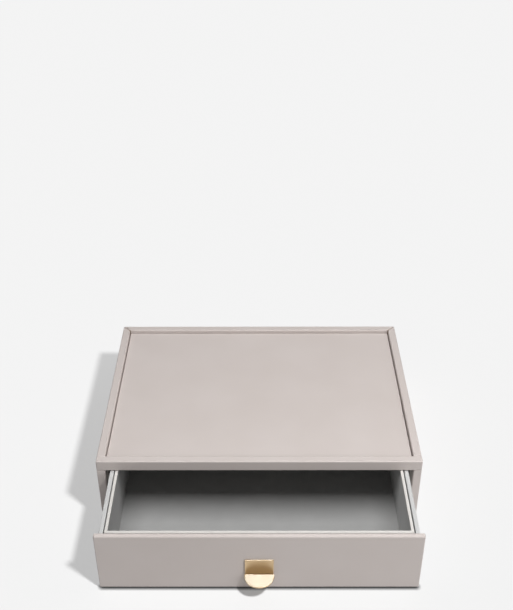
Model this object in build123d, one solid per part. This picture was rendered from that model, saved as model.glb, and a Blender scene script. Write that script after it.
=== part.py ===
from build123d import *
import os

# Stacking vanity drawer box, in millimetres.
# A carcass of wrapped boards holds one lined drawer, which is modelled pulled out by drawer_open.
# X is the width, +Y goes to the back and +Z goes up. The origin is the centre of the carcass's
# footprint, on the surface that the box stands on.

# ---- carcass -------------------------------------------------------------------------------
width = 250.0             # over the side walls
depth = 180.0             # front face of the header to the outside of the back wall
height = 65.0             # standing surface to the top of the rim
wall = 6.4                # finished side and back walls
header_depth = 6.6        # finished front rail, front to back
header_lip = 0.5          # the front rail hangs this far below the ceiling
skin = 0.7                # leatherette wrapped round the boards
edge_round = 1.2          # finished arrises of the walls and the front rail
mitre_gap = 0.3           # open line between the wrapped boards at the two rear corners
turn_in = 12.0            # leatherette folded behind a board past its edge
deck_recess = 3.0         # rim top down to the deck
deck_thickness = 5.0      # finished deck
deck_groove = 0.5         # open line between the deck and the rim
deck_round = 0.9          # top arrises of the deck
base_thickness = 5.0
lining_board = 1.8        # grey boards inside the walls
lining_paper = 0.5        # grey paper on the ceiling and the floor
plinth_thickness = 1.0
felt_thickness = 0.5
nest_clearance = 1.0      # round the plinth, inside the rim of the box below

# ---- drawer --------------------------------------------------------------------------------
drawer_open = 66.0        # how far the drawer is pulled out as modelled
front_thickness = 3.4     # finished drawer front
front_side_gap = 0.35     # drawer front to each side wall
front_top_gap = 0.6       # drawer front to the front rail
front_corner = 1.5        # corners of the drawer front, seen from the front
front_round = 0.9         # arrises of the drawer front
stop_gap = 0.3            # closed drawer front to the base board's front edge
glide_gap = 0.3           # drawer bottom over the floor paper
side_clearance = 2.2      # drawer side to the lining board
back_clearance = 0.5      # closed drawer to the back lining
drawer_board = 3.1        # sides and back of the drawer
drawer_bottom_board = 3.0
drawer_side_drop = 0.2    # drawer sides stand this much below the drawer front
board_round = 0.5         # top arrises of the drawer's sides and back
liner_wall = 2.2          # velvet-covered walls of the liner
liner_floor_board = 3.0
liner_side_gap = 0.85     # liner to the drawer sides
liner_end_gap = 0.25      # liner to the drawer's front and back
liner_round = 0.7         # top arrises of the liner

# ---- pull tab ------------------------------------------------------------------------------
tab_metal = 1.2
tab_width = 22.2          # across the half-round plate
tab_leg_width = 21.0
tab_leg_height = 14.7     # above the plate
tab_plate_top = 15.5      # above the bottom edge of the drawer front
tab_reach = 13.2          # plate in front of the drawer front
tab_inner_bend = 0.3
tab_outer_bend = 0.9
tab_edge_round = 0.25
boss_radius = 2.2
boss_length = 1.6
boss_spacing = 11.0
boss_height = 7.4         # boss axes above the plate
boss_hole_gap = 0.1       # between a boss and its hole in the drawer front
screw_radius = 1.25
screw_hole_gap = 0.15
thread_gap = 0.02
screw_head_radius = 2.5
screw_head = 0.8
screw_bite = 2.3          # thread inside the boss and the leg
slot_width = 0.7
slot_depth = 0.4

cut_past = 1.0            # a hole or slot is cut this far past the face that it opens in

# ---- levels and faces that several pieces share ----------------------------------------------
foot = felt_thickness + plinth_thickness          # underside of the walls and the base
base_top = foot + base_thickness
floor_top = base_top + lining_paper
deck_top = height - deck_recess
deck_under = deck_top - deck_thickness
ceiling = deck_under - lining_paper
header_under = ceiling - header_lip

outer_x = width / 2
inner_x = outer_x - wall
lining_x = inner_x - lining_board
front_y = -depth / 2
back_y = depth / 2
header_back_y = front_y + header_depth
inner_back_y = back_y - wall
lining_back_y = inner_back_y - lining_board
base_front_y = front_y + front_thickness + stop_gap
lining_front_y = max(header_back_y, base_front_y)

drawer_front_y = front_y - drawer_open
drawer_front_back_y = drawer_front_y + front_thickness
drawer_back_y = lining_back_y - back_clearance - drawer_open
drawer_back_inner_y = drawer_back_y - drawer_board
front_x = inner_x - front_side_gap
front_top = header_under - front_top_gap
drawer_x = lining_x - side_clearance
drawer_inner_x = drawer_x - drawer_board
drawer_under = floor_top + glide_gap
drawer_floor = drawer_under + drawer_bottom_board
drawer_side_top = front_top - drawer_side_drop
liner_x = drawer_inner_x - liner_side_gap
liner_inner_x = liner_x - liner_wall
liner_front_y = drawer_front_back_y + liner_end_gap
liner_back_y = drawer_back_inner_y - liner_end_gap
liner_floor_top = drawer_floor + liner_floor_board

plate_top = foot + tab_plate_top
plate_under = plate_top - tab_metal
leg_top = plate_top + tab_leg_height
boss_z = plate_top + boss_height
boss_end_y = drawer_front_y + boss_length
head_seat_y = drawer_front_back_y - skin          # bare back of the board, inside the turn-ins


def block(x, y, z):
    """A block between the low and high values of x, y and z."""
    centre = Pos((x[0] + x[1]) / 2, (y[0] + y[1]) / 2, (z[0] + z[1]) / 2)
    return centre * Box(x[1] - x[0], y[1] - y[0], z[1] - z[0])


def inset_pair(pair, amount):
    """A low and high value, each moved inwards by the same amount."""
    return pair[0] + amount, pair[1] - amount


def softened(solid, edges, radius):
    """The solid with the given edges rounded, or as it is where no radius is left."""
    return fillet(edges, radius) if radius > 0.01 else solid


def rounded_block(x, y, z, radius):
    """A block with all twelve arrises rounded."""
    solid = block(x, y, z)
    return softened(solid, solid.edges(), radius)


def top_rounded_block(x, y, z, radius):
    """A block with only its top arrises rounded."""
    solid = block(x, y, z)
    return softened(solid, solid.faces().sort_by(Axis.Z)[-1].edges(), radius)


def save(name, shape):
    """Write one node's solids to its own file."""
    export_step(shape, os.path.join("parts", name + ".step"))


# ---- walls ---------------------------------------------------------------------------------
def corner_wedge(side, away, shift):
    """One side of the mitre plane at a rear corner, moved back by shift to leave the open line.

    side is -1 for the left corner and 1 for the right; away is the point that the wedge reaches to.
    """
    reach = 2 * wall
    outer_end = (side * (outer_x + reach), back_y + reach)
    inner_end = (side * (outer_x - reach), back_y - reach)
    wedge = make_face(Polyline(outer_end, inner_end, away, close=True))
    return Pos(0, shift, 0) * extrude(wedge, height + reach)


def behind_mitre(side):
    """What the mitre takes off the rear end of a side wall."""
    reach = 2 * wall
    return corner_wedge(side, (side * (outer_x - reach), back_y + reach), -mitre_gap / 2 ** 0.5)


def beside_mitre(side):
    """What the mitre takes off one end of the back wall."""
    reach = 2 * wall
    return corner_wedge(side, (side * (outer_x + reach), back_y - reach), mitre_gap / 2 ** 0.5)


def header_place():
    """The space that the front rail takes out of the side walls' top corners."""
    return block((-width, width), (2 * front_y, header_back_y), (header_under, 2 * height))


def side_wall(side, inset):
    """One side wall, mitred at the back and notched for the front rail, inset from its finish."""
    x = sorted((side * (inner_x + inset), side * (outer_x - inset)))
    y = inset_pair((front_y, back_y), inset)
    z = inset_pair((foot, height), inset)
    solid = rounded_block(x, y, z, edge_round - inset)
    return solid - behind_mitre(side) - header_place()


def back_wall(inset):
    """The back wall, mitred at both ends, inset from its finish."""
    y = inset_pair((inner_back_y, back_y), inset)
    z = inset_pair((foot, height), inset)
    solid = rounded_block(inset_pair((-outer_x, outer_x), inset), y, z, edge_round - inset)
    return solid - beside_mitre(-1) - beside_mitre(1)


def front_rail(inset):
    """The front rail over the drawer, inset from its finish."""
    x = inset_pair((-outer_x, outer_x), inset)
    y = inset_pair((front_y, header_back_y), inset)
    z = inset_pair((header_under, height), inset)
    radius = edge_round - inset
    solid = block(x, y, z)
    front = solid.faces().sort_by(Axis.Y)[0].edges()
    ends = solid.faces().sort_by(Axis.Z)[-1].edges().filter_by(Axis.Y)
    solid = softened(solid, front + ends, radius)
    if radius > 0.01:
        # the rim's inner arris is rounded between the side walls only
        span = (-inner_x, inner_x)
        corner = block(span, (y[1] - radius, y[1] + radius), (z[1] - radius, z[1] + radius))
        roll = Pos(0, y[1] - radius, z[1] - radius) * Rot(0, 90, 0) * Cylinder(radius, width)
        solid -= corner - roll
    return solid


def side_window(side):
    """The stretch of a side wall's inner face that the turned-in leatherette leaves bare."""
    x = sorted((side * (inner_x - skin), side * (inner_x + skin)))
    y = (lining_front_y + turn_in, inner_back_y - turn_in)
    return block(x, y, inset_pair((foot, deck_top), turn_in))


def back_window():
    """The stretch of the back wall's inner face that the turned-in leatherette leaves bare."""
    x = inset_pair((-inner_x, inner_x), turn_in)
    return block(x, (inner_back_y - skin, inner_back_y + skin), inset_pair((foot, deck_top), turn_in))


def rail_window():
    """The open line behind the front rail, where the two edges of its leatherette end."""
    x = inset_pair((-inner_x, inner_x), turn_in)
    middle = (deck_under + deck_top) / 2
    return block(x, (header_back_y - skin, header_back_y + skin), (middle - skin, middle + skin))


def make_walls():
    for name, side in (("left", -1), ("right", 1)):
        core = side_wall(side, skin)
        save(name + "_side_board", core)
        save(name + "_side_cover", side_wall(side, 0) - core - side_window(side))
    core = back_wall(skin)
    save("back_board", core)
    save("back_cover", back_wall(0) - core - back_window())
    core = front_rail(skin)
    save("header_rail", core)
    save("header_cover", front_rail(0) - core - rail_window())


# ---- deck, base and linings ------------------------------------------------------------------
def make_deck():
    x = (-inner_x + deck_groove, inner_x - deck_groove)
    y = (header_back_y + deck_groove, inner_back_y - deck_groove)
    outer = top_rounded_block(x, y, (deck_under, deck_top), deck_round)
    core_z = (deck_under, deck_top - skin)
    core = top_rounded_block(inset_pair(x, skin), inset_pair(y, skin), core_z, deck_round - skin)
    save("deck_board", core)
    save("deck_cover", outer - core)


def make_base():
    full_x = (-inner_x, inner_x)
    save("base_board", block(full_x, (base_front_y, inner_back_y), (foot, base_top)))
    plinth_x = inset_pair(full_x, nest_clearance)
    plinth_y = inset_pair((header_back_y, inner_back_y), nest_clearance)
    save("plinth_board", block(plinth_x, plinth_y, (felt_thickness, foot)))
    save("plinth_felt", block(plinth_x, plinth_y, (0, felt_thickness)))


def make_linings():
    z = (base_top, deck_under)
    for name, side in (("left", -1), ("right", 1)):
        x = sorted((side * lining_x, side * inner_x))
        save(name + "_lining_board", block(x, (base_front_y, lining_back_y), z) - header_place())
    save("back_lining_board", block((-inner_x, inner_x), (lining_back_y, inner_back_y), z))
    between = (-lining_x, lining_x)
    save("ceiling_lining", block(between, (lining_front_y, lining_back_y), (ceiling, deck_under)))
    save("floor_lining", block(between, (base_front_y, lining_back_y), (base_top, floor_top)))


# ---- drawer box ------------------------------------------------------------------------------
def front_panel(inset):
    """The drawer front, inset from its finish: round corners first, then the arrises."""
    x = inset_pair((-front_x, front_x), inset)
    y = inset_pair((drawer_front_y, drawer_front_back_y), inset)
    z = inset_pair((foot, front_top), inset)
    solid = block(x, y, z)
    solid = softened(solid, solid.edges().filter_by(Axis.Y), front_corner - inset)
    ends = solid.faces().sort_by(Axis.Y)
    return softened(solid, ends[0].edges() + ends[-1].edges(), front_round - inset)


def along_y(x, z, y_from, y_to, radius):
    """A round bar along Y."""
    bar = Rot(90, 0, 0) * Cylinder(radius, y_to - y_from)
    return Pos(x, (y_from + y_to) / 2, z) * bar


def boss_places():
    """The X of each boss on the back of the pull tab."""
    return (-boss_spacing / 2, boss_spacing / 2)


def front_holes():
    """What the bosses and the screws take out of the drawer front."""
    holes = []
    for x in boss_places():
        boss_hole = boss_radius + boss_hole_gap
        screw_hole = screw_radius + screw_hole_gap
        holes.append(along_y(x, boss_z, drawer_front_y - cut_past, boss_end_y, boss_hole))
        holes.append(along_y(x, boss_z, boss_end_y - cut_past, drawer_front_back_y, screw_hole))
    return holes


def make_drawer_front():
    core = front_panel(skin)
    window_x = inset_pair((-front_x, front_x), turn_in)
    window_z = inset_pair((foot, front_top), turn_in)
    window = block(window_x, (head_seat_y, drawer_front_back_y + cut_past), window_z)
    save("drawer_front_board", core - front_holes())
    save("drawer_front_cover", front_panel(0) - core - window - front_holes())


def make_drawer_box():
    z = (drawer_under, drawer_side_top)
    for name, side in (("left", -1), ("right", 1)):
        x = sorted((side * drawer_inner_x, side * drawer_x))
        solid = block(x, (drawer_front_back_y, drawer_back_y), z)
        top = solid.faces().sort_by(Axis.Z)[-1].edges().filter_by(Axis.Y)
        save("drawer_" + name + "_side", softened(solid, top, board_round))
    inside = (-drawer_inner_x, drawer_inner_x)
    solid = block(inside, (drawer_back_inner_y, drawer_back_y), z)
    top = solid.faces().sort_by(Axis.Z)[-1].edges().filter_by(Axis.X)
    save("drawer_back", softened(solid, top, board_round))
    bottom_y = (drawer_front_back_y, drawer_back_inner_y)
    save("drawer_bottom", block(inside, bottom_y, (drawer_under, drawer_floor)))


def make_liner():
    z = (liner_floor_top, front_top)
    for name, side in (("left", -1), ("right", 1)):
        x = sorted((side * liner_inner_x, side * liner_x))
        save("liner_" + name + "_wall", top_rounded_block(x, (liner_front_y, liner_back_y), z, liner_round))
    inside = (-liner_inner_x, liner_inner_x)
    front_wall_y = (liner_front_y, liner_front_y + liner_wall)
    back_wall_y = (liner_back_y - liner_wall, liner_back_y)
    for name, y in (("front", front_wall_y), ("back", back_wall_y)):
        solid = block(inside, y, z)
        top = solid.faces().sort_by(Axis.Z)[-1].edges().filter_by(Axis.X)
        save("liner_" + name + "_wall", softened(solid, top, liner_round))
    floor_z = (drawer_floor, liner_floor_top)
    save("liner_floor", block((-liner_x, liner_x), (liner_front_y, liner_back_y), floor_z))


# ---- pull tab --------------------------------------------------------------------------------
def tab_plate():
    """The level half-round plate: a short straight stretch, then a half circle."""
    radius = tab_width / 2
    straight = tab_reach - radius
    centre_y = drawer_front_y - straight
    disc = Pos(0, centre_y, plate_under) * extrude(Circle(radius), tab_metal)
    stem = block((-radius, radius), (centre_y, drawer_front_y), (plate_under, plate_top))
    return disc & block((-width, width), (centre_y - width, centre_y), (0, height)), stem


def edges_along_x(solid, y, z):
    """The solid's edges that run along X at the given y and z."""
    near = 0.01
    edges = solid.edges().filter_by(Axis.X).filter_by_position(Axis.Y, y - near, y + near)
    return edges.filter_by_position(Axis.Z, z - near, z + near)


def make_tab():
    half_disc, stem = tab_plate()
    leg_face_y = drawer_front_y - tab_metal
    leg_x = (-tab_leg_width / 2, tab_leg_width / 2)
    leg = block(leg_x, (leg_face_y, drawer_front_y), (plate_under, leg_top))
    tab = half_disc + stem + leg
    tab = softened(tab, edges_along_x(tab, leg_face_y, plate_top), tab_inner_bend)
    tab = softened(tab, edges_along_x(tab, drawer_front_y, plate_under), tab_outer_bend)
    rim = tab.edges().filter_by(GeomType.CIRCLE).group_by(Axis.Y)[0]
    tab = softened(tab, rim, tab_edge_round)
    crown = tab.faces().sort_by(Axis.Z)[-1].edges()
    tab = softened(tab, crown, tab_edge_round)
    for x in boss_places():
        tab += along_y(x, boss_z, drawer_front_y - tab_metal / 2, boss_end_y, boss_radius)
        thread = screw_radius + thread_gap
        tab -= along_y(x, boss_z, boss_end_y - screw_bite, boss_end_y + cut_past, thread)
    save("tab_handle", tab)


def make_screws():
    screws = []
    head_end_y = head_seat_y + screw_head
    for x in boss_places():
        shank = along_y(x, boss_z, boss_end_y - screw_bite, head_seat_y, screw_radius)
        head = along_y(x, boss_z, head_seat_y, head_end_y, screw_head_radius)
        slot_x = (x - screw_head_radius, x + screw_head_radius)
        slot_z = (boss_z - slot_width / 2, boss_z + slot_width / 2)
        slot = block(slot_x, (head_end_y - slot_depth, head_end_y + cut_past), slot_z)
        screws.append(shank + head - slot)
    save("handle_screws", Compound(children=screws))


os.makedirs("parts", exist_ok=True)
make_walls()
make_deck()
make_base()
make_linings()
make_drawer_front()
make_drawer_box()
make_liner()
make_tab()
make_screws()
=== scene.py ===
"""A low stacking vanity box in taupe leatherette, with one velvet-lined drawer and a brass pull tab."""
import math

import bpy
import numpy as np
from mathutils import Matrix, Vector


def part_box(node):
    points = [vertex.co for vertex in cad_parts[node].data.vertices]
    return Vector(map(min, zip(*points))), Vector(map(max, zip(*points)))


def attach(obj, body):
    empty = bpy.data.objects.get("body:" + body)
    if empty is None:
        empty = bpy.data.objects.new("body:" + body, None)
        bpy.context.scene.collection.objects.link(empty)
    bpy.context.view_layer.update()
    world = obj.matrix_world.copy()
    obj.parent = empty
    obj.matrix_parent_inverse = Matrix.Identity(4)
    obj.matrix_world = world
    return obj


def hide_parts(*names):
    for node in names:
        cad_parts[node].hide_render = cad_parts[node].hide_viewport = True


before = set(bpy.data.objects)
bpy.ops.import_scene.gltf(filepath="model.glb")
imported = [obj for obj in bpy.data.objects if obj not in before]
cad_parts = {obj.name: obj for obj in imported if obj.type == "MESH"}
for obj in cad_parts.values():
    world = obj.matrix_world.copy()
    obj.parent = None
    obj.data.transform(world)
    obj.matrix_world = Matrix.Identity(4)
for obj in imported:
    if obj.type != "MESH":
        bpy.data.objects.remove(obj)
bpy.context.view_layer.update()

MM = 0.001

# ---- finish sizes, in metres ---------------------------------------------------------------
SKIN = 0.7 * MM              # leatherette round the boards
EDGE_ROLL = 0.9 * MM         # where it goes round an arris of the carcass
SEAM_ROLL = 0.4 * MM         # where it folds into a mitre or a butt joint
DECK_ROLL = 0.9 * MM
FRONT_ROLL = 1.5 * MM
FRONT_CORNER = 1.8 * MM      # corners of the drawer front, seen from the front
FRONT_END_ROLL = 1.1 * MM    # tighter at its two ends
FRONT_FOOT_ROLL = 0.7 * MM   # and tighter still along its foot
TURN_IN = 12 * MM            # leatherette folded behind a board
MITRE_SHIFT = 0.36 * MM      # each wrapped end stands this far back from the mitre, along the wall
NOTCH_LINE = 0.06 * MM       # open line between a side wall and the end of the front rail
HAND_WAVE = 0.05 * MM        # how far a hand-laid edge wanders
HAND_WAVES = ((97 * MM, 0.5), (41 * MM, 0.3), (23 * MM, 0.2))   # length and share of each of its waves
HAND_TURNS = (1.3, 2.1)      # where the waves start on the deck's two ends and its two long edges
BOARD_ROLL = 0.5 * MM        # paper-covered drawer boards
LINER_ROLL = 0.7 * MM        # velvet-covered liner walls
CARD_EDGE = 0.5 * MM         # bare cut edge of the liner's card, above the velvet
CARD_ROLL = 0.3 * MM
TAB_METAL = 1.2 * MM
TAB_ROLL = 0.42 * MM
TAB_BEND = 0.3 * MM          # inside radius of the tab's bend
TAB_LEG_SHARE = 21.0 / 22.2  # the leg is a little narrower than the plate
BOSS_LENGTH = 1.6 * MM
BOSS_RADIUS = 2.2 * MM
BOSS_SPACING = 11 * MM
BOSS_HEIGHT = 7.4 * MM       # boss axes above the plate's top

# ---- grids -----------------------------------------------------------------------------------
ARC_STEPS = 5                # from one grid line to the next, over each half of a rolled arris
PAST_ROLL = 1.35             # where the flat face's first grid line stands, in rolls from the end
SEAM_LINES = 4               # grid lines on the fold into a mitre
GRID_STEP = 7 * MM           # about the distance of the grid lines on the flat faces
RIM_STEP = 0.2 * MM          # on the front rail, where its inner arris runs out over a side wall
TAB_STEPS = (1.2 * MM, 2 * MM, 0.3 * MM)   # across, along and through the tab
BEND_LINES = 13              # over the tab's bend
DISC_LINES = 17              # over its half disc
CARD_STEPS = 24              # along each side of the liner's card edge
CARD_ARC_LINES = 5           # over each of its two top arrises
LEAST_STEP = 0.03 * MM       # lines closer than this are one line
SAME = 0.001 * MM            # places closer than this are one place
OPEN_END = np.inf            # limit of a box whose end stays sharp


def corners(node):
    """The lowest and highest corner of a node, as arrays."""
    low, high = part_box(node)
    return np.array(low), np.array(high)


# ---- surfaces ------------------------------------------------------------------------------
def stops(low, high, roll=0.0, step=GRID_STEP, more=()):
    """Grid lines along one axis, from low to high.

    Over each end arris they stand at roll * (1 - tan a) for even angles a from 0 to 45 degrees, so
    that rolled() drops them evenly on a quarter circle. One more line just past the arris keeps the
    flat face's shading flat, and the rest stand about step apart. more holds extra lines.
    """
    angles = np.linspace(0, math.pi / 4, ARC_STEPS + 1)
    near = np.append(roll * (1 - np.tan(angles)), PAST_ROLL * roll) if roll else np.zeros(1)
    flat_low, flat_high = low + near.max(), high - near.max()
    count = max(2, int(round((flat_high - flat_low) / step)) + 1)
    flat = np.linspace(flat_low, flat_high, count)
    lines = np.sort(np.concatenate([low + near, flat, high - near, more]))
    return lines[np.append(True, np.diff(lines) > LEAST_STEP)]


def box_skin(xs, ys, zs):
    """Points and quads of a gridded box whose lattice lines are the three lists.

    The six faces share the lattice's numbering, so the skin is closed, and each face's quads run
    round its two axes in the order that points them outwards.
    """
    shape = (len(xs), len(ys), len(zs))
    ids = np.arange(np.prod(shape)).reshape(shape)
    faces = [ids[-1], ids[0].T, ids[:, -1].T, ids[:, 0], ids[:, :, -1], ids[:, :, 0].T]
    quads = [np.stack([f[:-1, :-1], f[1:, :-1], f[1:, 1:], f[:-1, 1:]], -1).reshape(-1, 4) for f in faces]
    used, quads = np.unique(np.concatenate(quads), return_inverse=True)
    i, j, k = np.unravel_index(used, shape)
    return np.stack([xs[i], ys[j], zs[k]], 1), quads.reshape(-1, 4)


def capped(vectors, longest):
    """The vectors, with the ones that are longer than longest cut back to it."""
    length = np.linalg.norm(vectors, axis=1, keepdims=True)
    return vectors * np.divide(longest, length, out=np.ones_like(length), where=length > longest)


def rolled(points, low, high, roll, corner=None, depth=0.0):
    """The points of a box with its arrises rolled, or of the skin that lies depth inside them.

    Each point outside the inner box, whose faces lie one roll inside, is pulled straight towards it
    until it is one roll, less the depth, away. An end that is OPEN_END stays sharp. Where corner is
    given, the box seen from the front has round corners of that larger radius.
    """
    from_front = [0, 2]
    inset = np.full(3, roll)
    inset[from_front] = corner or roll
    inner = np.clip(points, low + inset, high - inset)
    if corner:
        inner[:, from_front] += capped((points - inner)[:, from_front], corner - roll)
    return inner + capped(points - inner, roll - depth)


def eased(values, low, high, roll, new_low, new_high):
    """Values from low to high, with the rolls at the two ends stretched to new_low and new_high."""
    given = [low, low + roll, high - roll, high]
    return np.interp(values, given, [low, low + new_low, high - new_high, high])


def wander(along, amount, turn):
    """A slow uneven wave along an edge, between -amount and amount: one sine for each of HAND_WAVES."""
    waves = [share * np.sin(2 * math.pi * along / length + turn * (k + 1))
             for k, (length, share) in enumerate(HAND_WAVES)]
    return amount * sum(waves)


def without(points, quads, axis, level, window):
    """The quads less those in the plane axis = level whose middles lie inside window, which is its low
    and its high corner: the stretch that a turned-in sheet leaves bare."""
    middles = points[quads].mean(1)
    inside = np.all((middles > window[0]) & (middles < window[1]), axis=1)
    flat = np.abs(points[quads][:, :, axis] - level).max(1) < SAME
    return quads[~(inside & flat)]


def bar(length, radius, around=48):
    """Points, quads and the two flat ends of a round bar that runs from the origin along +Y."""
    turn = np.linspace(0, 2 * math.pi, around, endpoint=False)
    circle = np.stack([radius * np.cos(turn), np.zeros(around), radius * np.sin(turn)], 1)
    ring = np.arange(around)
    after = np.roll(ring, -1)
    quads = np.stack([ring, ring + around, after + around, after], 1)
    return np.concatenate([circle, circle + [0, length, 0]]), quads, np.stack([ring, ring[::-1] + around])


def sheet(outside, inside, quads):
    """Points and quads of a sheet with a front and a back: both skins share one numbering.

    The back's quads run the other way round, and a strip of quads closes the sheet along each edge
    that only one quad uses. Points that no quad uses are dropped.
    """
    count = len(outside)
    sides = np.stack([quads, np.roll(quads, -1, 1)], -1).reshape(-1, 2)
    keys = np.sort(sides, 1) @ [count, 1]
    _, first, uses = np.unique(keys, return_index=True, return_counts=True)
    rim = sides[first[uses == 1]]
    strip = np.stack([rim[:, 1], rim[:, 0], rim[:, 0] + count, rim[:, 1] + count], 1)
    quads = np.concatenate([quads, quads[:, ::-1] + count, strip])
    used, quads = np.unique(quads, return_inverse=True)
    return np.concatenate([outside, inside])[used], quads.reshape(-1, 4)


def piece(name, points, faces, material, body, replaced):
    """One mesh object with its finish, set on its body in place of the CAD nodes it stands for."""
    mesh = bpy.data.meshes.new(name)
    mesh.from_pydata(points.tolist(), [], faces)
    mesh.materials.append(material)
    mesh.polygons.foreach_set("use_smooth", np.ones(len(mesh.polygons), bool))
    obj = bpy.data.objects.new(name, mesh)
    bpy.context.scene.collection.objects.link(obj)
    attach(obj, body)
    if replaced:
        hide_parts(*replaced)
    return obj


# ---- materials -----------------------------------------------------------------------------
def linear(hex_colour):
    """An sRGB hex colour as the linear RGBA that shaders take."""
    srgb = [int(hex_colour[i:i + 2], 16) / 255 for i in (1, 3, 5)]
    return [c / 12.92 if c <= 0.04045 else ((c + 0.055) / 1.055) ** 2.4 for c in srgb] + [1.0]


def plug(tree, node, values=None, links=None):
    """Set a node's sockets: some to a value, and some to another node's output."""
    for socket, value in (values or {}).items():
        node.inputs[socket].default_value = value
    for socket, source in (links or {}).items():
        tree.links.new(source, node.inputs[socket])


def add(tree, kind, output, values=None, links=None, **properties):
    """Add a shader node of that kind, with its properties and sockets set, and give that output of it."""
    node = tree.nodes.new("ShaderNode" + kind)
    for name, value in properties.items():
        setattr(node, name, value)
    plug(tree, node, values, links)
    return node.outputs[output]


def new_material(name):
    """An empty material: its node tree, its Principled shader and the Object coordinates."""
    material = bpy.data.materials.new(name)
    material.use_nodes = True
    tree = material.node_tree
    return material, tree, tree.nodes["Principled BSDF"], add(tree, "TexCoord", "Object")


def leatherette():
    """Polyurethane leatherette, embossed with a fine pebble grain: satin, with soft broad highlights.

    The pebbles are 0.8 mm across and 0.03 mm deep, and the cloth behind them shows as a slow mottle.
    """
    material, tree, shader, place = new_material("taupe_pu_leatherette")
    pebble = add(tree, "TexVoronoi", "Distance", {"Scale": 1 / (0.8 * MM), "Randomness": 0.9},
                 {"Vector": place}, feature="SMOOTH_F1")
    crease = add(tree, "TexNoise", "Fac", {"Scale": 1 / (0.35 * MM), "Detail": 3.0}, {"Vector": place})
    mottle = add(tree, "TexNoise", "Fac", {"Scale": 1 / (45 * MM), "Detail": 2.0}, {"Vector": place})
    height = add(tree, "Mix", "Result", {0: 0.3}, {"A": pebble, "B": crease})
    bump = add(tree, "Bump", "Normal", {"Strength": 0.6, "Distance": 0.03 * MM}, {"Height": height},
               invert=True)
    colour = add(tree, "Mix", "Result", {"A": linear("#CEC4BF"), "B": linear("#D6CDC9")}, {0: mottle},
                 data_type="RGBA")
    rough = add(tree, "MapRange", "Result", {"To Min": 0.5, "To Max": 0.62}, {"Value": crease})
    plug(tree, shader, {"IOR": 1.48}, {"Base Color": colour, "Roughness": rough, "Normal": bump})
    return material


def flocked_velvet():
    """Flocked velvet: short nylon pile on card. Matt, with a pale bloom where it is seen along the pile.

    The pile shows as 0.3 mm specks, and lies in slow patches about 20 mm across.
    """
    material, tree, shader, place = new_material("grey_flocked_velvet")
    pile = add(tree, "TexNoise", "Fac", {"Scale": 1 / (0.3 * MM), "Detail": 4.0}, {"Vector": place})
    lie = add(tree, "TexNoise", "Fac", {"Scale": 1 / (20 * MM), "Detail": 2.0}, {"Vector": place})
    shade = add(tree, "Mix", "Result", {0: 0.35}, {"A": lie, "B": pile})
    bump = add(tree, "Bump", "Normal", {"Strength": 0.5, "Distance": 0.05 * MM}, {"Height": pile})
    colour = add(tree, "Mix", "Result", {"A": linear("#BFBFBE"), "B": linear("#D2D2D1")}, {0: shade},
                 data_type="RGBA")
    plug(tree, shader,
         {"Roughness": 0.95, "Sheen Weight": 0.2, "Sheen Roughness": 0.45, "Specular IOR Level": 0.2},
         {"Base Color": colour, "Normal": bump})
    return material


def covering_paper(name, dark, light, grain):
    """Board covered in uncoated paper: matt, faintly flecked, with a soft felt-marked surface."""
    material, tree, shader, place = new_material(name)
    fleck = add(tree, "TexNoise", "Fac", {"Scale": 1 / grain, "Detail": 5.0}, {"Vector": place})
    bump = add(tree, "Bump", "Normal", {"Strength": 0.4, "Distance": 0.02 * MM}, {"Height": fleck})
    colour = add(tree, "Mix", "Result", {"A": linear(dark), "B": linear(light)}, {0: fleck}, data_type="RGBA")
    plug(tree, shader, {"Roughness": 0.72}, {"Base Color": colour, "Normal": bump})
    return material


def fibreboard():
    """Medium-density fibreboard: pressed wood fibres, matt brown, with fibres about 1 mm long."""
    material, tree, shader, place = new_material("brown_fibreboard")
    fibre = add(tree, "TexNoise", "Fac", {"Scale": 1 / (1.0 * MM), "Detail": 6.0, "Distortion": 1.5},
                {"Vector": place})
    bump = add(tree, "Bump", "Normal", {"Strength": 0.5, "Distance": 0.05 * MM}, {"Height": fibre})
    colour = add(tree, "Mix", "Result", {"A": linear("#8E7355"), "B": linear("#B4977A")}, {0: fibre},
                 data_type="RGBA")
    plug(tree, shader, {"Roughness": 0.85}, {"Base Color": colour, "Normal": bump})
    return material


def felt():
    """Needled wool felt: matt and fuzzy, with tangled fibres about 0.6 mm across."""
    material, tree, shader, place = new_material("grey_needled_felt")
    fuzz = add(tree, "TexNoise", "Fac", {"Scale": 1 / (0.6 * MM), "Detail": 8.0, "Distortion": 2.0},
               {"Vector": place})
    bump = add(tree, "Bump", "Normal", {"Strength": 0.8, "Distance": 0.12 * MM}, {"Height": fuzz})
    colour = add(tree, "Mix", "Result", {"A": linear("#7D7B79"), "B": linear("#A3A19F")}, {0: fuzz},
                 data_type="RGBA")
    plug(tree, shader, {"Roughness": 0.95, "Sheen Weight": 0.3}, {"Base Color": colour, "Normal": bump})
    return material


def satin_brass():
    """Brass plate with a satin brushed finish and a clear lacquer: the brush lines run across the tab."""
    material, tree, shader, place = new_material("satin_brass")
    brushed = (1 / (6 * MM), 1 / (0.12 * MM), 1 / (0.12 * MM))
    drawn = add(tree, "Mapping", "Vector", {"Scale": brushed}, {"Vector": place})
    lines = add(tree, "TexNoise", "Fac", {"Scale": 1.0, "Detail": 3.0}, {"Vector": drawn})
    cloud = add(tree, "TexNoise", "Fac", {"Scale": 1 / (5 * MM), "Detail": 2.0}, {"Vector": place})
    bump = add(tree, "Bump", "Normal", {"Strength": 0.25, "Distance": 0.01 * MM}, {"Height": lines})
    colour = add(tree, "Mix", "Result", {"A": linear("#CDB592"), "B": linear("#D5BD9A")}, {0: cloud},
                 data_type="RGBA")
    rough = add(tree, "MapRange", "Result", {"To Min": 0.30, "To Max": 0.38}, {"Value": lines})
    plug(tree, shader, {"Metallic": 1.0}, {"Base Color": colour, "Roughness": rough, "Normal": bump})
    return material


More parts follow.
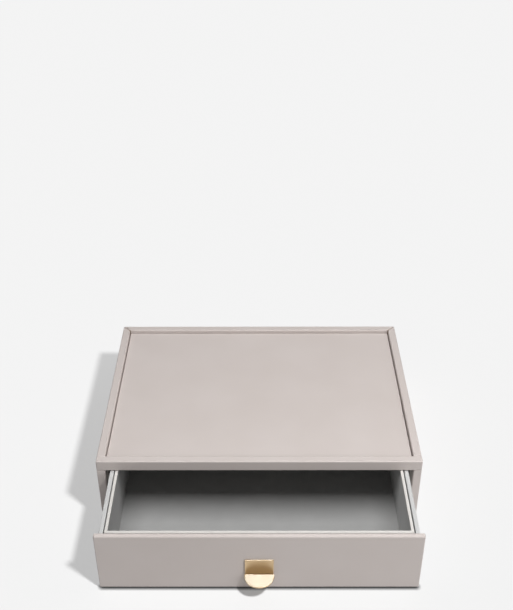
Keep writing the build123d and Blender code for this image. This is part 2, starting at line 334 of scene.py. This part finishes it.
def plated_steel():
    """Zinc-plated steel screws: cool grey, with a fine crystal spangle about 0.4 mm across."""
    material, tree, shader, place = new_material("zinc_plated_steel")
    spangle = add(tree, "TexVoronoi", "Distance", {"Scale": 1 / (0.4 * MM)}, {"Vector": place})
    colour = add(tree, "Mix", "Result", {"A": linear("#B9BBBD"), "B": linear("#D4D6D8")}, {0: spangle},
                 data_type="RGBA")
    rough = add(tree, "MapRange", "Result", {"To Min": 0.25, "To Max": 0.4}, {"Value": spangle})
    plug(tree, shader, {"Metallic": 1.0}, {"Base Color": colour, "Roughness": rough})
    return material


LEATHERETTE = leatherette()
VELVET = flocked_velvet()
DRAWER_PAPER = covering_paper("light_grey_covering_paper", "#C6C6C5", "#D0D0CF", 0.5 * MM)
LINING_PAPER = covering_paper("mid_grey_covering_paper", "#9A9896", "#A9A7A5", 0.6 * MM)
CARD = covering_paper("ivory_card", "#D6D3CE", "#DEDBD7", 0.4 * MM)
GREY_BOARD = covering_paper("grey_board", "#97938F", "#AAA6A2", 0.9 * MM)
FIBREBOARD = fibreboard()
FELT = felt()
BRASS = satin_brass()
STEEL = plated_steel()


# ---- carcass walls -------------------------------------------------------------------------
def behind_mitres(s, t, length, wall, mitred):
    """The places s along a wall, squeezed back behind the planes of its mitred ends, and how far the
    wall's section shrinks at each place.

    A plane stands wall - t from its end, and MITRE_SHIFT more for its share of the open line. The
    squeeze reaches two walls in, and the section shrinks by a quarter circle of SEAM_ROLL just
    before the plane.
    """
    shrink = np.zeros(len(s))
    back = wall - t + MITRE_SHIFT
    span = 2 * wall
    for end in (0, 1):
        if not mitred[end]:
            continue
        depth = length - s if end else s
        depth = np.where(depth < span, back + depth * (span - back) / span, depth)
        s = length - depth if end else depth
        inward = np.clip((depth - back) / math.sqrt(2), 0, SEAM_ROLL)
        shrink += SEAM_ROLL - np.sqrt(SEAM_ROLL ** 2 - (SEAM_ROLL - inward) ** 2)
    return s, shrink


def wrapped_wall(name, node, place, flip, length, wall, foot, top, mitred, window, notch=None):
    """A leatherette-wrapped wall with its length along s, its thickness along t from the inside face
    and its height along z, put in the world by place(s, t, z), which mirrors it where flip is true.

    mitred says which of the two ends are mitred, and such an end has no face of its own. Inside
    window, the low and high corner of a box in (s, t, z), the inside face is bare. notch is the
    (length, top) of the lowered stretch that carries the front rail.
    """
    seam = SEAM_ROLL * math.sqrt(2) * (1 - np.cos(np.linspace(0, math.pi / 2, SEAM_LINES)))
    s_more = [window[:, 0]] + [np.abs(end - seam) for end, cut in zip((0, length), mitred) if cut]
    z_more = [window[:, 2]]
    if notch:
        s_more.append(notch[0] + np.array([-SEAM_ROLL, 0, NOTCH_LINE, 2 * SEAM_ROLL]))
        z_more.append([notch[1] - EDGE_ROLL])
    points, quads = box_skin(
        stops(0, length, EDGE_ROLL, more=np.concatenate(s_more)),
        stops(0, wall, EDGE_ROLL),
        stops(foot, top, EDGE_ROLL, more=np.concatenate(z_more)))
    quads = without(points, quads, 1, 0.0, window)
    for end, cut in zip((0, length), mitred):
        if cut:
            quads = quads[np.abs(points[quads][:, :, 0] - end).max(1) > SAME]
    s, t, z = points.T
    tops = np.full(len(points), top)
    at_step = np.zeros(len(points), bool)
    if notch:
        below = notch[1] - EDGE_ROLL
        under_rail = s <= notch[0] + SAME
        at_step = (s > notch[0] - SAME) & (s < notch[0] + NOTCH_LINE + SAME)
        z[under_rail] = np.interp(z[under_rail], [foot, below, top], [foot, below, notch[1]])
        tops[under_rail] = notch[1]
    points[:, 0], shrink = behind_mitres(s, t, length, wall, mitred)
    low = np.stack([np.zeros(len(points)), shrink, foot + shrink], 1)
    high = np.stack([np.full(len(points), length), wall - shrink, tops - shrink], 1)
    clipped = np.clip(points, low, high)
    outside, inside = [rolled(clipped, low, high, EDGE_ROLL, depth=depth) for depth in (0.0, SKIN)]
    inside[at_step, 0] += SKIN
    if flip:
        quads = quads[:, ::-1]
    points, quads = sheet(place(*outside.T), place(*inside.T), quads)
    return piece(name, points, quads.tolist(), LEATHERETTE, "carcass", [node])


def side_walls():
    """The two side walls: mitred at the back, lowered at the front under the ends of the front rail."""
    rail_low, rail_high = corners("header_cover")
    back_y = corners("back_cover")[1][1]
    for name, side in (("left", -1), ("right", 1)):
        low, high = corners(name + "_side_cover")
        wall = high[0] - low[0]
        inner_x = np.abs([low[0], high[0]]).min()
        front_y = low[1]
        length = back_y - front_y
        notch = (rail_high[1] - front_y, rail_low[2])
        window = np.array([[notch[0] + TURN_IN, -wall, low[2] + TURN_IN],
                           [length - wall - TURN_IN, wall, notch[1] - TURN_IN]])

        def place(s, t, z):
            return np.stack([side * (inner_x + t), front_y + s, z], 1)

        wrapped_wall(name + "_side_wrap", name + "_side_cover", place, side > 0, length, wall,
                     low[2], high[2], (False, True), window, notch)


def back_wall():
    """The back wall, mitred at both ends. Its turn-in is twice as deep at the top, behind the deck."""
    low, high = corners("back_cover")
    side_low, side_high = corners("left_side_cover")
    wall = side_high[0] - side_low[0]
    inner_y = high[1] - wall
    outer_x = side_low[0]
    length = -2 * outer_x
    window = np.array([[wall + TURN_IN, -wall, low[2] + TURN_IN],
                       [length - wall - TURN_IN, wall, high[2] - 2 * TURN_IN]])

    def place(s, t, z):
        return np.stack([outer_x + s, inner_y + t, z], 1)

    wrapped_wall("back_wrap", "back_cover", place, False, length, wall, low[2], high[2], (True, True), window)


def front_rail():
    """The front rail over the drawer, as wide as the carcass.

    Its inner top arris is rolled between the side walls and runs out over their rims: there the plane
    that the roll starts from moves back as far as the point lies outside the opening.
    """
    low, high = corners("header_cover")
    inner_x = np.abs(corners("right_side_cover")[0][0])
    rim = inner_x + stops(0, PAST_ROLL * EDGE_ROLL, step=RIM_STEP)
    x_lines = stops(low[0], high[0], EDGE_ROLL, more=np.concatenate([rim, -rim]))
    points, quads = box_skin(x_lines, stops(low[1], high[1], EDGE_ROLL), stops(low[2], high[2], EDGE_ROLL))
    highs = np.tile(high, (len(points), 1))
    highs[:, 1] += np.maximum(np.abs(points[:, 0]) - inner_x, 0)
    skins = [rolled(points, low, highs, EDGE_ROLL, depth=depth) for depth in (0.0, SKIN)]
    for skin in skins:
        skin[:, 2] = eased(skin[:, 2], low[2], high[2], EDGE_ROLL, SEAM_ROLL, EDGE_ROLL)
    points, quads = sheet(*skins, quads)
    return piece("front_rail_wrap", points, quads.tolist(), LEATHERETTE, "carcass",
                 ["header_cover"])


def deck():
    """The recessed top: leatherette over a board, with hand-laid edges that wander a little, open below."""
    low, high = corners("deck_cover")
    points, quads = box_skin(*[stops(low[a], high[a], DECK_ROLL) for a in range(3)])
    quads = quads[points[quads][:, :, 2].max(1) > low[2] + SAME]
    open_below = np.append(low[:2], -OPEN_END)
    share = (points - (low + high) / 2) / ((high - low) / 2)
    skins = [rolled(points, open_below, high, DECK_ROLL, depth=depth) for depth in (0.0, SKIN)]
    for skin in skins:
        for axis, turn in enumerate(HAND_TURNS):
            skin[:, axis] += share[:, axis] ** 3 * wander(points[:, 1 - axis], HAND_WAVE, turn)
    points, quads = sheet(*skins, quads)
    return piece("deck_wrap", points, quads.tolist(), LEATHERETTE, "carcass", ["deck_cover"])


# ---- drawer --------------------------------------------------------------------------------
def drawer_front():
    """The drawer front: a thin wrapped panel with round corners, bare behind inside its turn-ins."""
    low, high = corners("drawer_front_cover")
    window = np.array([[low[0] + TURN_IN, low[1], low[2] + TURN_IN],
                       [high[0] - TURN_IN, high[1] + TURN_IN, high[2] - TURN_IN]])
    points, quads = box_skin(
        stops(low[0], high[0], FRONT_CORNER, more=window[:, 0]),
        stops(low[1], high[1], FRONT_ROLL),
        stops(low[2], high[2], FRONT_CORNER, more=window[:, 2]))
    quads = without(points, quads, 1, high[1], window)
    skins = [rolled(points, low, high, FRONT_ROLL, FRONT_CORNER, depth=depth) for depth in (0.0, SKIN)]
    for skin in skins:
        skin[:, 0] = eased(skin[:, 0], low[0], high[0], FRONT_CORNER, FRONT_END_ROLL, FRONT_END_ROLL)
        skin[:, 1] = eased(skin[:, 1], low[1], high[1], FRONT_ROLL, FRONT_ROLL, SEAM_ROLL)
        skin[:, 2] = eased(skin[:, 2], low[2], high[2], FRONT_CORNER, FRONT_FOOT_ROLL, FRONT_CORNER)
    points, quads = sheet(*skins, quads)
    return piece("drawer_front_wrap", points, quads.tolist(), LEATHERETTE, "drawer",
                 ["drawer_front_cover"])


def covered_board(node, covering, material, roll, sharp_ends, lowered=0.0):
    """A covered board in the place of a node, with its arrises rolled and its top lowered.

    sharp_ends lists the ends that butt against a neighbour, as (axis, end), where end is 0 or 1.
    """
    low, high = corners(node)
    high = high - [0, 0, lowered]
    points, quads = box_skin(*[stops(low[a], high[a], roll) for a in range(3)])
    limits = np.array([low, high])
    for axis, end in sharp_ends:
        limits[end, axis] = OPEN_END if end else -OPEN_END
    points = rolled(points, *limits, roll)
    return piece(node + covering, points, quads.tolist(), material, "drawer", [node])


def drawer_boards():
    """The drawer's sides and back: thin paper-covered board with rolled top arrises."""
    for node, sharp_ends in (("drawer_left_side", [(1, 0), (2, 0)]),
                             ("drawer_right_side", [(1, 0), (2, 0)]),
                             ("drawer_back", [(0, 0), (0, 1), (2, 0)])):
        covered_board(node, "_board", DRAWER_PAPER, BOARD_ROLL, sharp_ends)


def liner():
    """The velvet liner's five pieces: two long walls, two short ones between them, and a floor."""
    long_ends = [(2, 0), (2, 1)]
    short_ends = [(0, 0), (0, 1), (2, 0), (2, 1)]
    rows = (("liner_left_wall", long_ends, CARD_EDGE), ("liner_right_wall", long_ends, CARD_EDGE),
            ("liner_front_wall", short_ends, CARD_EDGE), ("liner_back_wall", short_ends, CARD_EDGE),
            ("liner_floor", long_ends, 0.0))
    return [covered_board(node, "_velvet", VELVET, LINER_ROLL, sharp_ends, lowered)
            for node, sharp_ends, lowered in rows]


def liner_card_edge():
    """The cut top edge of the liner's card, all round: a low profile carried along a rectangle.

    The profile runs round the card's section as (across, up), with quarter circles at its two top
    arrises. A point across the card lies that far inside the outer rectangle, on all four sides.
    """
    low = corners("liner_left_wall")[0]
    right_low, high = corners("liner_right_wall")
    low[1], high[1] = corners("liner_front_wall")[0][1], corners("liner_back_wall")[1][1]
    card = high[0] - right_low[0]
    angles = np.linspace(0, math.pi / 2, CARD_ARC_LINES)
    arc_across = CARD_ROLL * (1 - np.cos(angles))
    arc_up = CARD_EDGE - CARD_ROLL * (1 - np.sin(angles))
    across = np.concatenate([[0], arc_across, card - arc_across[::-1], [card]])
    up = np.concatenate([[0], arc_up, arc_up[::-1], [0]])
    share = np.linspace(0, 1, CARD_STEPS + 1)[:-1]
    none, whole = np.zeros(CARD_STEPS), np.ones(CARD_STEPS)
    x_share = np.concatenate([share, whole, 1 - share, none])[:, None]
    y_share = np.concatenate([none, share, whole, 1 - share])[:, None]
    x = low[0] + across + x_share * (high[0] - low[0] - 2 * across)
    y = low[1] + across + y_share * (high[1] - low[1] - 2 * across)
    z = np.broadcast_to(high[2] - CARD_EDGE + up, x.shape)
    points = np.stack([x, y, z], -1).reshape(-1, 3)
    ids = np.arange(len(points)).reshape(x.shape)
    after, beside = np.roll(ids, -1, 0), np.roll(ids, -1, 1)
    quads = np.stack([ids, after, np.roll(after, -1, 1), beside], -1).reshape(-1, 4)
    return piece("liner_card_edge", points, quads.tolist(), CARD, "drawer", [])


def tab_strip(low, high, face_y):
    """Points and quads of the tab's strip, half round at one end and bent square near the other.

    It is worked out flat, with x across it, s along it and n through it. The last stretch, as long
    as half the width, becomes a half disc by x' = x * sqrt(1 - v*v/2), s' = s * sqrt(1 - u*u/2), where
    u and v are x and s as shares of the radius. Then the strip is bent: points past the bend's start
    turn about its centre by their distance over the bend's middle radius.
    """
    radius = (high[0] - low[0]) / 2
    middle_x = (high[0] + low[0]) / 2
    middle_radius = TAB_BEND + TAB_METAL / 2
    outer_radius = TAB_BEND + TAB_METAL
    arc = middle_radius * math.pi / 2
    leg = high[2] - low[2] - outer_radius
    length = leg + arc + face_y - low[1] - outer_radius
    start = length - radius
    bend_lines = leg + np.linspace(0, arc, BEND_LINES)
    disc_lines = np.linspace(start, length, DISC_LINES)
    points, quads = box_skin(
        stops(-radius, radius, TAB_ROLL, TAB_STEPS[0]),
        stops(0, length, TAB_ROLL, TAB_STEPS[1], more=np.concatenate([bend_lines, disc_lines])),
        stops(0, TAB_METAL, TAB_ROLL, TAB_STEPS[2]))
    x, s, n = rolled(points, np.array([-radius, 0, 0]), np.array([radius, length, TAB_METAL]), TAB_ROLL).T
    u = x / radius
    v = np.clip((s - start) / radius, 0, 1)
    x = x * np.sqrt(1 - v * v / 2)
    s = np.where(s > start, start + radius * v * np.sqrt(1 - u * u / 2), s)
    x = x * np.interp(s, [leg, leg + arc], [TAB_LEG_SHARE, 1])
    # n grows from the drawer front outwards on the leg, and from the plate's underside upwards
    turn = np.clip((s - leg) / middle_radius, 0, math.pi / 2)
    past = np.maximum(s - leg - arc, 0)
    arm = outer_radius - n
    y = face_y - outer_radius + arm * np.cos(turn) - past
    z = np.where(s < leg, high[2] - s, low[2] + outer_radius - arm * np.sin(turn))
    return np.stack([middle_x + x, y, z], 1), quads[:, ::-1]


def pull_tab():
    """The pull tab: a bent brass strip, with two bosses behind its leg that take the screws."""
    low, high = corners("tab_handle")
    face_y = corners("drawer_front_cover")[0][1]
    strip, quads = tab_strip(low, high, face_y)
    points, faces = [strip], quads.tolist()
    count = len(strip)
    for side in (-1, 1):
        boss, boss_sides, boss_ends = bar(BOSS_LENGTH + TAB_METAL / 2, BOSS_RADIUS)
        axis = [(low[0] + high[0] + side * BOSS_SPACING) / 2, face_y - TAB_METAL / 2,
                low[2] + TAB_METAL + BOSS_HEIGHT]
        points.append(boss + axis)
        faces += (boss_sides + count).tolist() + (boss_ends + count).tolist()
        count += len(boss)
    return piece("pull_tab", np.concatenate(points), faces, BRASS, "drawer", ["tab_handle"])


side_walls()
back_wall()
front_rail()
deck()
drawer_front()
drawer_boards()
liner_pieces = liner()
liner_card_edge()
tab_piece = pull_tab()

# ---- finishes of the CAD nodes that stay -----------------------------------------------------
NODE_FINISH = {
    "left_side_board": FIBREBOARD, "right_side_board": FIBREBOARD, "back_board": FIBREBOARD,
    "header_rail": FIBREBOARD, "deck_board": FIBREBOARD, "drawer_front_board": FIBREBOARD,
    "base_board": GREY_BOARD, "plinth_board": GREY_BOARD,
    "left_lining_board": GREY_BOARD, "right_lining_board": GREY_BOARD, "back_lining_board": GREY_BOARD,
    "ceiling_lining": LINING_PAPER, "floor_lining": LINING_PAPER,
    "drawer_bottom": DRAWER_PAPER, "plinth_felt": FELT, "handle_screws": STEEL,
}
for node_name, finish in NODE_FINISH.items():
    cad_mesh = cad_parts[node_name].data
    cad_mesh.materials.clear()
    cad_mesh.materials.append(finish)


# ---- floor, light and camera: places and sizes in metres, energies in watts --------------------
FLOOR_HALF = 6.0
FLOOR_LEVEL = -0.02 * MM     # just clear of what stands on it
FLOOR_WHITE = "#F4F4F4"
FLOOR_SHARE = 0.45           # how much light the floor's own colour throws back
FLOOR_KEY_PLACE = (0.29, -0.46, 0.825)
FLOOR_KEY_RADIUS = 0.042
FLOOR_KEY_WATTS = 23.0       # what the key gives the floor, where the box shades it
TAB_KEY_WATTS = 10.0         # what it gives the floor besides, where only the tab shades it
BESIDE_BOX = (-0.20, 0.0, 0.0)   # the floor is evened out to what it gets here
PAINTED_SHADE_REACH = 3 * MM       # how far out the painted contact shade round the box's foot reaches
SKY = 0.08                   # the even light from all round

SOFTBOX_PLACE = (0.0, -0.20, 1.35)
SOFTBOX_AIM = (0.0, -0.20, 0.0)
SOFTBOX = {"shape": "RECTANGLE", "size": 1.5, "size_y": 0.9, "energy": 12.0}
KEY_PLACE = (0.372, -0.447, 0.90)
KEY = {"shadow_soft_size": 0.05, "energy": 15.0}
FILL_PLACE = (0.70, -0.80, 0.45)
FILL_AIM = (0.0, -0.15, 0.03)
FILL = {"shape": "RECTANGLE", "size": 0.5, "size_y": 0.4, "energy": 2.5}
GLOSS_PLACE = (0.0, 0.223, 0.477)
GLOSS_AIM = (0.0, -0.163, 0.017)
GLOSS = {"shape": "RECTANGLE", "size": 0.4, "size_y": 0.3, "energy": 0.8, "color": (0.84, 1.03, 1.38),
         "use_shadow": False}

PHOTO_HEIGHT = 610           # pixels
FOCAL_PIXELS = 915.5
FILM = 36.0                  # the camera's film height in millimetres, for which its lens is set
CAMERA_PLACE = (0.0001, -0.6045, 0.5515)
CAMERA_TURN = 0.195          # degrees to the left
CAMERA_DOWN = 33.68          # degrees below level
CAMERA_LEAN = -0.17          # degrees about its own axis


def floor_material():
    """Matt pale floor, evened out for the camera.

    The floor's key gives watts / (4 pi pi) * height / distance cubed, as a share of a full white.
    Where that is more than it is beside the box, the floor's colour goes down to match, and where it
    is less, a glow that only the camera and mirrors see fills it up to the same full white. Both carry a
    painted contact shade: they go dark close to what stands on the floor, by the cube of the open sky's
    share.
    """
    material, tree, shader, place = new_material("pale_floor")
    full = (FLOOR_KEY_WATTS + TAB_KEY_WATTS) / (4 * math.pi ** 2) * FLOOR_KEY_PLACE[2]
    beside = full / math.dist(FLOOR_KEY_PLACE, BESIDE_BOX) ** 3
    glow = 1 - beside - FLOOR_SHARE * SKY
    away = add(tree, "VectorMath", "Value", {1: FLOOR_KEY_PLACE}, {0: place}, operation="DISTANCE")
    cubed = add(tree, "Math", "Value", {1: 3.0}, {0: away}, operation="POWER")
    given = add(tree, "Math", "Value", {0: full}, {1: cubed}, operation="DIVIDE")
    more = add(tree, "Math", "Value", {1: beside}, {0: given}, operation="MAXIMUM")
    whole = add(tree, "Math", "Value", {1: glow}, {0: more}, operation="ADD")
    even = add(tree, "Math", "Value", {0: glow + beside}, {1: whole}, operation="DIVIDE")
    # painted contact shade: the open sky's share, cubed, darkens the floor's colour and glow close to what
    # stands on it
    open_sky = add(tree, "AmbientOcclusion", "AO", {"Distance": PAINTED_SHADE_REACH}, samples=16)
    painted_contact_shade = add(tree, "Math", "Value", {1: 3.0}, {0: open_sky}, operation="POWER")
    even_and_painted_shade = add(tree, "Math", "Value", links={0: even, 1: painted_contact_shade}, operation="MULTIPLY")
    share = add(tree, "Math", "Value", {1: FLOOR_SHARE}, {0: even_and_painted_shade}, operation="MULTIPLY")
    colour = add(tree, "Mix", "Result", {"A": linear("#000000"), "B": linear(FLOOR_WHITE)}, {0: share},
                 data_type="RGBA")
    missing = add(tree, "Math", "Value", {0: beside}, {1: given}, operation="SUBTRACT", use_clamp=True)
    evened = add(tree, "Math", "Value", {1: glow}, {0: even_and_painted_shade, 2: missing}, operation="MULTIPLY_ADD")
    by_camera = add(tree, "LightPath", "Is Camera Ray")
    by_mirror = add(tree, "LightPath", "Is Glossy Ray")
    seen = add(tree, "Math", "Value", links={0: by_camera, 1: by_mirror}, operation="ADD")
    strength = add(tree, "Math", "Value", links={0: evened, 1: seen}, operation="MULTIPLY")
    plug(tree, shader, {"Emission Color": linear(FLOOR_WHITE), "Roughness": 1.0, "Specular IOR Level": 0.0},
         {"Base Color": colour, "Emission Strength": strength})
    return material


def studio_floor():
    """A wide pale floor at the level that the box stands on."""
    mesh = bpy.data.meshes.new("floor")
    sides = ((-1, -1), (1, -1), (1, 1), (-1, 1))
    mesh.from_pydata([(x * FLOOR_HALF, y * FLOOR_HALF, FLOOR_LEVEL) for x, y in sides], [], [(0, 1, 2, 3)])
    mesh.materials.append(floor_material())
    floor = bpy.data.objects.new("floor", mesh)
    bpy.context.scene.collection.objects.link(floor)
    return floor


def lamp(name, kind, place, aim=(0.0, 0.0, 0.0), **settings):
    """A lamp at place, facing aim."""
    data = bpy.data.lights.new(name, kind)
    for setting, value in settings.items():
        setattr(data, setting, value)
    made = bpy.data.objects.new(name, data)
    towards = Vector(aim) - Vector(place)
    made.matrix_world = Matrix.Translation(place) @ towards.to_track_quat("-Z", "Y").to_matrix().to_4x4()
    bpy.context.scene.collection.objects.link(made)
    return made


def reach(light, objects, state, blockers=None):
    """Let the lamp reach only these objects (INCLUDE), or all but these (EXCLUDE).

    Where blockers are given, only they cast its shadow.
    """
    lists = [("receiver_collection", objects, state)]
    if blockers:
        lists.append(("blocker_collection", blockers, "INCLUDE"))
    for which, members, link_state in lists:
        group = bpy.data.collections.new(light.name + "_" + which)
        for obj in members:
            group.objects.link(obj)
        for member in group.collection_objects:
            member.light_linking.link_state = link_state
        setattr(light.light_linking, which, group)


def studio_light(floor, lining, tab):
    """A broad softbox overhead, a small key from the front right, and a low soft fill from the right.

    The key and the fill are flagged off the drawer's lining, which only the softbox lights. Two lamps
    in one place are the key's share on the floor, and they are as much stronger as the floor's colour
    is darker. A cool card behind the box gives the tab's level plate its gloss, which nothing in
    between blocks.
    """
    softbox = lamp("softbox", "AREA", SOFTBOX_PLACE, SOFTBOX_AIM, **SOFTBOX)
    reach(softbox, [floor], "EXCLUDE")
    key = lamp("key_light", "POINT", KEY_PLACE, **KEY)
    reach(key, lining + [floor], "EXCLUDE")
    fill = lamp("low_fill", "AREA", FILL_PLACE, FILL_AIM, **FILL)
    reach(fill, lining + [floor], "EXCLUDE")
    for name, watts, blockers in (("floor_key", FLOOR_KEY_WATTS, None), ("tab_key", TAB_KEY_WATTS, [tab])):
        floor_lamp = lamp(name, "POINT", FLOOR_KEY_PLACE, energy=watts / FLOOR_SHARE,
                          shadow_soft_size=FLOOR_KEY_RADIUS)
        reach(floor_lamp, [floor], "INCLUDE", blockers)
    card = lamp("gloss_card", "AREA", GLOSS_PLACE, GLOSS_AIM, **GLOSS)
    card.data.cycles.use_multiple_importance_sampling = False
    reach(card, [tab], "INCLUDE")


def studio_world():
    """Faint even light from all round, which the camera sees as the floor's white."""
    world = bpy.data.worlds.new("studio")
    world.use_nodes = True
    tree = world.node_tree
    seen = add(tree, "LightPath", "Is Camera Ray")
    strength = add(tree, "MapRange", "Result", {"To Min": SKY, "To Max": 1.0}, {"Value": seen})
    plug(tree, tree.nodes["Background"], {"Color": linear(FLOOR_WHITE)}, {"Strength": strength})
    bpy.context.scene.world = world


def photo_camera():
    """The photograph's viewpoint: 33.7 degrees down, with the focal length that its perspective gives."""
    data = bpy.data.cameras.new("camera")
    data.sensor_fit = "VERTICAL"
    data.sensor_height = FILM
    data.lens = FOCAL_PIXELS / PHOTO_HEIGHT * FILM
    camera = bpy.data.objects.new("camera", data)
    turn = Matrix.Rotation(math.radians(CAMERA_TURN), 4, "Z")
    tilt = Matrix.Rotation(math.radians(90 - CAMERA_DOWN), 4, "X")
    lean = Matrix.Rotation(math.radians(CAMERA_LEAN), 4, "Z")
    camera.matrix_world = Matrix.Translation(CAMERA_PLACE) @ turn @ tilt @ lean
    bpy.context.scene.collection.objects.link(camera)
    bpy.context.scene.camera = camera


studio_light(studio_floor(), liner_pieces, tab_piece)
studio_world()
photo_camera()
bpy.context.scene.view_settings.view_transform = "Standard"
